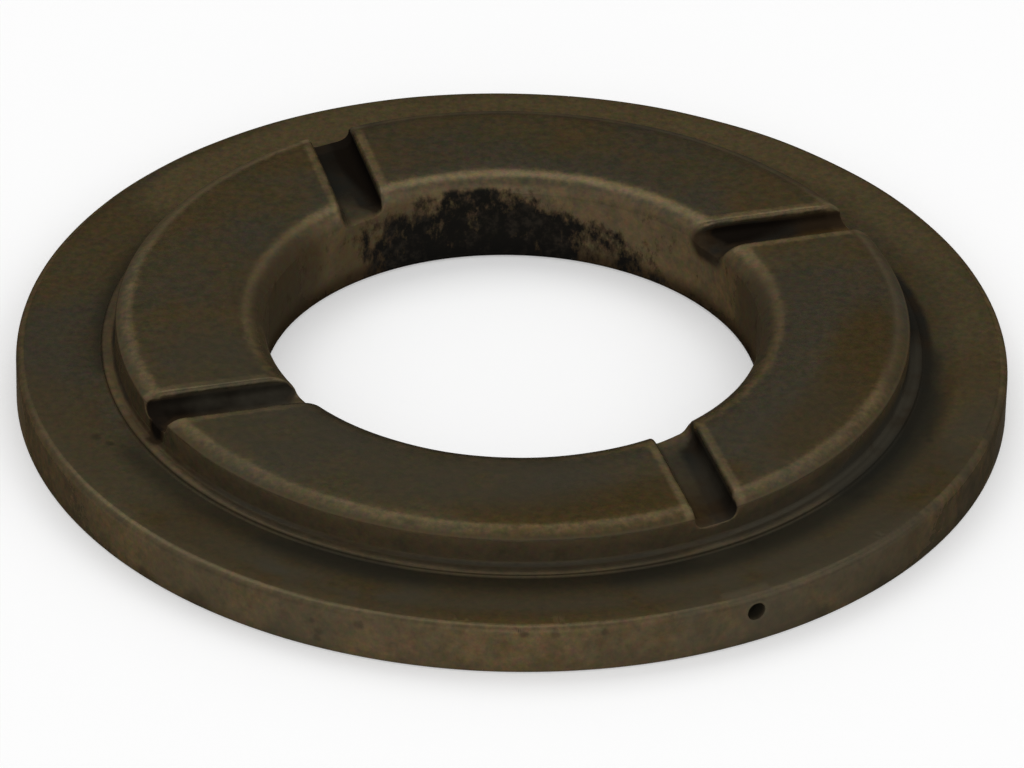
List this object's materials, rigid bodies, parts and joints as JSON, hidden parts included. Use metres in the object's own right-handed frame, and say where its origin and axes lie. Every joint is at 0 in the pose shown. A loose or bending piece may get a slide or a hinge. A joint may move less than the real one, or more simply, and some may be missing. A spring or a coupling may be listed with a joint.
{
  "type": "flanged thrust washer with oil grooves",
  "caption": "Round bronze thrust washer with a flange, a raised bearing boss, a plain bore and oil grooves across the boss face.",
  "frame": {"origin": "centre of the flange's seat face, on the bore axis, with the seat on z = 0", "axes": "+Z along the bore axis, from the seat towards the grooved bearing face; -Y is the side that the picture looks from"},
  "size_m": [0.08, 0.08, 0.0075],
  "materials": {
    "bronze": "aged dark bronze, satin, with bright worn edges"
  },
  "bodies": {
    "root": {"washer": "bronze"}
  },
  "joints": []
}
